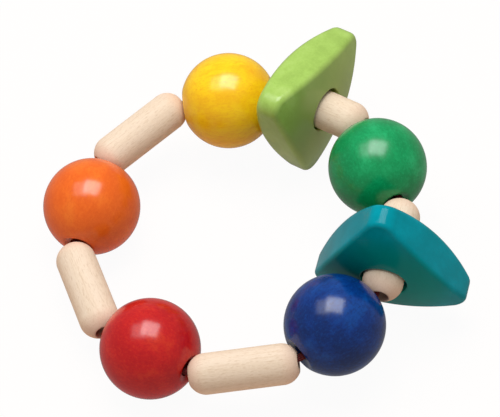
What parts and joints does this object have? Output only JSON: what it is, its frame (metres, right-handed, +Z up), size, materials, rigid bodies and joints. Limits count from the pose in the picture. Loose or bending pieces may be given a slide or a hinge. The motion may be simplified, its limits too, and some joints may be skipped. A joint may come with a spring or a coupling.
{
  "type": "clutching toy",
  "caption": "Grasping ring for a baby: painted wooden balls and plain pegs strung in turn on a closed elastic cord, with loose rounded triangles that turn and slide on their pegs.",
  "frame": {"origin": "bottom centre of the box round the whole toy, on the table it lies on", "axes": "+Z up; the yellow ball is at the +Y side of the ring and the green ball at the +X side"},
  "size_m": [0.126, 0.1216, 0.0527],
  "materials": {
    "yellow_paint": "satin lacquer",
    "orange_paint": "satin lacquer",
    "red_paint": "satin lacquer",
    "blue_paint": "satin lacquer",
    "green_paint": "satin lacquer",
    "lime_paint": "satin lacquer",
    "teal_paint": "satin lacquer",
    "bare_wood": "smooth sanded, unpainted",
    "elastic": "matt woven cover"
  },
  "bodies": {
    "yellow_ball": {"yellow_ball": "yellow_paint"},
    "orange_ball": {"orange_ball": "orange_paint"},
    "red_ball": {"red_ball": "red_paint"},
    "blue_ball": {"blue_ball": "blue_paint"},
    "green_ball": {"green_ball": "green_paint"},
    "yellow_orange_peg": {"yellow_orange_peg": "bare_wood"},
    "orange_red_peg": {"orange_red_peg": "bare_wood"},
    "red_blue_peg": {"red_blue_peg": "bare_wood"},
    "blue_green_peg": {"blue_green_peg": "bare_wood"},
    "green_yellow_peg": {"green_yellow_peg": "bare_wood"},
    "lime_triangle": {"lime_triangle": "lime_paint"},
    "teal_triangle": {"teal_triangle": "teal_paint"},
    "elastic_cord": {"elastic_cord": "elastic"}
  },
  "joints": [
    {"name": "yellow_ball_spin", "type": "hinge", "parent": "elastic_cord", "child": "yellow_ball", "pos_m": [0.00217, 0.04533, 0.0229], "axis": [-0.9817, 0.139, -0.1301], "continuous": true},
    {"name": "blue_ball_spin", "type": "hinge", "parent": "elastic_cord", "child": "blue_ball", "pos_m": [0.01833, -0.04536, 0.0229], "axis": [0.8733, 0.4694, 0.1301], "continuous": true},
    {"name": "green_ball_spin", "type": "hinge", "parent": "elastic_cord", "child": "green_ball", "pos_m": [0.04288, 0.0058, 0.02748], "axis": [-0.1754, 0.9845, 0], "continuous": true},
    {"name": "blue_green_peg_spin", "type": "hinge", "parent": "elastic_cord", "child": "blue_green_peg", "pos_m": [0.04046, -0.02462, 0.02642], "axis": [0.4314, 0.8986, 0.0804], "continuous": true},
    {"name": "green_yellow_peg_spin", "type": "hinge", "parent": "elastic_cord", "child": "green_yellow_peg", "pos_m": [0.03011, 0.03351, 0.02642], "axis": [-0.7151, 0.6944, -0.0804], "continuous": true},
    {"name": "ring_fold", "type": "hinge", "parent": "elastic_cord", "child": "orange_red_peg", "pos_m": [-0.00302, -0.00238, 0.02104], "axis": [0.1754, -0.9845, 0], "range_deg": [-15, 15], "stiffness_Nm_per_rad": 0.5, "deforming": ["elastic_cord"]},
    {"name": "yellow_orange_peg_spin", "type": "hinge", "parent": "orange_red_peg", "child": "yellow_orange_peg", "pos_m": [-0.02786, 0.04172, 0.01874], "axis": [-0.8733, -0.4694, -0.1301], "continuous": true},
    {"name": "orange_ball_spin", "type": "hinge", "parent": "orange_red_peg", "child": "orange_ball", "pos_m": [-0.04754, 0.0186, 0.0155], "axis": [-0.4314, -0.8986, -0.0804], "continuous": true},
    {"name": "red_ball_spin", "type": "hinge", "parent": "orange_red_peg", "child": "red_ball", "pos_m": [-0.03756, -0.03744, 0.0155], "axis": [0.7151, -0.6944, 0.0804], "continuous": true},
    {"name": "red_blue_peg_spin", "type": "hinge", "parent": "orange_red_peg", "child": "red_blue_peg", "pos_m": [-0.01111, -0.05234, 0.01874], "axis": [0.9817, -0.139, 0.1301], "continuous": true},
    {"name": "teal_triangle_slide", "type": "slide", "parent": "blue_green_peg", "child": "teal_triangle", "axis": [0.4314, 0.8986, 0.0804], "range_m": [-0.0018, 0.0086]},
    {"name": "lime_triangle_slide", "type": "slide", "parent": "green_yellow_peg", "child": "lime_triangle", "axis": [-0.7151, 0.6944, -0.0804], "range_m": [-0.0104, 0]}
  ]
}
